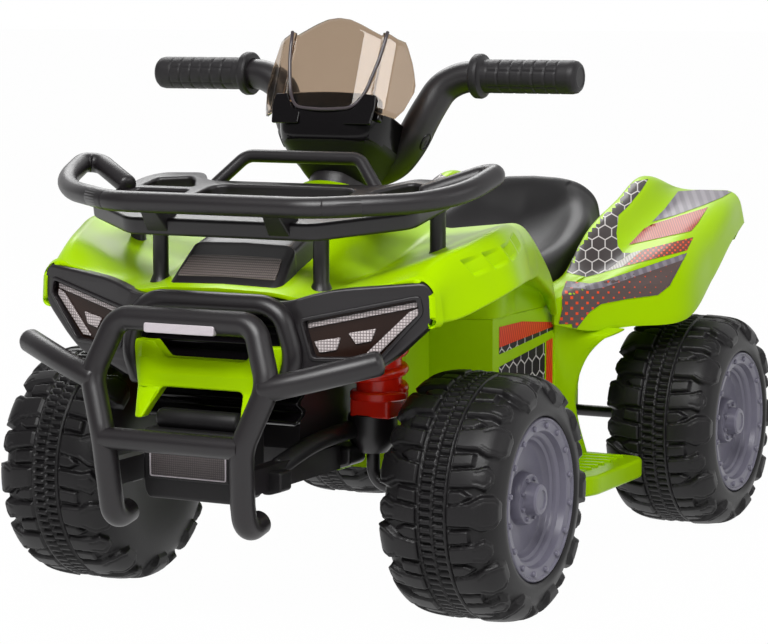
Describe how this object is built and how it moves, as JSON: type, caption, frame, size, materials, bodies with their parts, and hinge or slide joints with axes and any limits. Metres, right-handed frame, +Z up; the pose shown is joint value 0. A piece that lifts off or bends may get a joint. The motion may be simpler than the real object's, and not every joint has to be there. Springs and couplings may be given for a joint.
{
  "type": "kids quad bike",
  "caption": "Child's ride-on electric quad bike with steered front wheels, geared rear drive wheel, bull bar, front rack, dished seat, footboards and pedal.",
  "frame": {"origin": "middle of the footprint on the ground", "axes": "+X to the rider's left, -Y forwards, +Z up"},
  "size_m": [0.425, 0.712, 0.4414],
  "materials": {
    "tyre_black": "moulded, low sheen",
    "rim_grey": "satin",
    "steel": "plated",
    "body_green": "gloss moulded",
    "black_plastic": "fine grain",
    "grip_black": "ribbed",
    "dark_lens": "polished",
    "silver": "metallic film",
    "gloss_black": "gloss",
    "smoke": "smoked, polished",
    "red_plastic": "gloss",
    "gear_white": "natural"
  },
  "bodies": {
    "chassis": {"axle_carrier": "black_plastic", "shock_spring_left": "red_plastic", "shock_spring_right": "red_plastic", "body_tub": "body_green", "front_fairing": "body_green", "rear_fairing": "body_green", "seat": "black_plastic", "footboard_left": "body_green", "footboard_right": "body_green", "nose_fascia": "black_plastic", "headlight_left": "dark_lens", "headlight_right": "dark_lens", "grille_bar": "body_green", "hood_panel": "black_plastic", "hood_lens": "dark_lens", "bumper_hoop": "black_plastic", "bumper_crossbar": "black_plastic", "bumper_wings": "black_plastic", "bumper_reflector": "silver", "winch_box": "black_plastic", "subframe_straps": "black_plastic", "rack_tray": "black_plastic", "rack_front_rail": "black_plastic", "rack_loop_left": "black_plastic", "rack_loop_right": "black_plastic", "rack_hoop": "black_plastic", "rack_posts": "black_plastic", "column_bush": "black_plastic", "rear_axle": "steel", "rear_axle_nuts": "steel", "gearbox_case": "black_plastic", "gearbox_cover": "black_plastic", "gearbox_screws": "steel", "drive_motor": "steel", "battery": "black_plastic", "charge_socket": "black_plastic"},
    "steering": {"steering_column": "steel", "handlebar": "black_plastic", "grip_left": "grip_black", "grip_right": "grip_black", "binnacle": "gloss_black", "windscreen": "smoke"},
    "horn": {"horn_button": "red_plastic"},
    "music": {"music_button": "red_plastic"},
    "knuckle_left": {"stub_axle_left": "steel"},
    "knuckle_right": {"stub_axle_right": "steel"},
    "tie_rod": {"tie_rod": "steel"},
    "wheel_front_left": {"tyre_front_left": "tyre_black", "rim_front_left": "rim_grey"},
    "wheel_front_right": {"tyre_front_right": "tyre_black", "rim_front_right": "rim_grey"},
    "wheel_rear_left": {"tyre_rear_left": "tyre_black", "rim_rear_left": "rim_grey"},
    "wheel_rear_right": {"tyre_rear_right": "tyre_black", "rim_rear_right": "rim_grey", "drive_gear": "gear_white"},
    "idler": {"idler_gear": "gear_white"},
    "pinion": {"motor_pinion": "gear_white"},
    "pedal": {"accelerator_pedal": "black_plastic"},
    "direction": {"direction_switch": "black_plastic"}
  },
  "joints": [
    {"name": "steer", "type": "hinge", "parent": "chassis", "child": "steering", "pos_m": [0, -0.1741, 0.125], "axis": [0, 0.3827, 0.9239], "range_deg": [-25, 25]},
    {"name": "kingpin_left", "type": "hinge", "parent": "chassis", "child": "knuckle_left", "pos_m": [0.072, -0.176, 0.092], "axis": [0, 0, 1], "range_deg": [-25, 25]},
    {"name": "kingpin_right", "type": "hinge", "parent": "chassis", "child": "knuckle_right", "pos_m": [-0.072, -0.176, 0.092], "axis": [0, 0, 1], "range_deg": [-25, 25]},
    {"name": "tie_rod_pivot", "type": "hinge", "parent": "knuckle_left", "child": "tie_rod", "pos_m": [0.072, -0.151, 0.116], "axis": [0, 0, 1], "range_deg": [-25, 25]},
    {"name": "roll_front_left", "type": "hinge", "parent": "knuckle_left", "child": "wheel_front_left", "pos_m": [0.1645, -0.176, 0.092], "axis": [1, 0, 0], "continuous": true},
    {"name": "roll_front_right", "type": "hinge", "parent": "knuckle_right", "child": "wheel_front_right", "pos_m": [-0.1645, -0.176, 0.092], "axis": [1, 0, 0], "continuous": true},
    {"name": "roll_rear_left", "type": "hinge", "parent": "chassis", "child": "wheel_rear_left", "pos_m": [0.1645, 0.25, 0.092], "axis": [1, 0, 0], "continuous": true},
    {"name": "roll_rear_right", "type": "hinge", "parent": "chassis", "child": "wheel_rear_right", "pos_m": [-0.1645, 0.25, 0.092], "axis": [1, 0, 0], "continuous": true},
    {"name": "idler_spin", "type": "hinge", "parent": "chassis", "child": "idler", "pos_m": [-0.04, 0.23365, 0.12032], "axis": [1, 0, 0], "continuous": true},
    {"name": "pinion_spin", "type": "hinge", "parent": "chassis", "child": "pinion", "pos_m": [-0.03, 0.2108, 0.12435], "axis": [1, 0, 0], "continuous": true},
    {"name": "pedal_press", "type": "hinge", "parent": "chassis", "child": "pedal", "pos_m": [-0.1335, 0.146, 0.079], "axis": [1, 0, 0], "range_deg": [0, 6], "stiffness_Nm_per_rad": 0.3, "springref_deg": -8.59},
    {"name": "direction_rock", "type": "hinge", "parent": "chassis", "child": "direction", "pos_m": [-0.099, 0.02422, 0.174], "axis": [0, 0, 1], "range_deg": [-6, 6]},
    {"name": "horn_press", "type": "slide", "parent": "steering", "child": "horn", "axis": [0, -0.9239, 0.3827], "range_m": [0, 0.0025], "stiffness_N_per_m": 300, "springref_m": -0.001},
    {"name": "music_press", "type": "slide", "parent": "steering", "child": "music", "axis": [0, -0.9239, 0.3827], "range_m": [0, 0.0025], "stiffness_N_per_m": 300, "springref_m": -0.001}
  ],
  "couplings": [
    {"joint": "kingpin_left", "follows": "steer", "ratio": 1},
    {"joint": "kingpin_right", "follows": "steer", "ratio": 1},
    {"joint": "tie_rod_pivot", "follows": "steer", "ratio": -1},
    {"joint": "idler_spin", "follows": "roll_rear_right", "ratio": -3.3333},
    {"joint": "pinion_spin", "follows": "roll_rear_right", "ratio": 12}
  ]
}
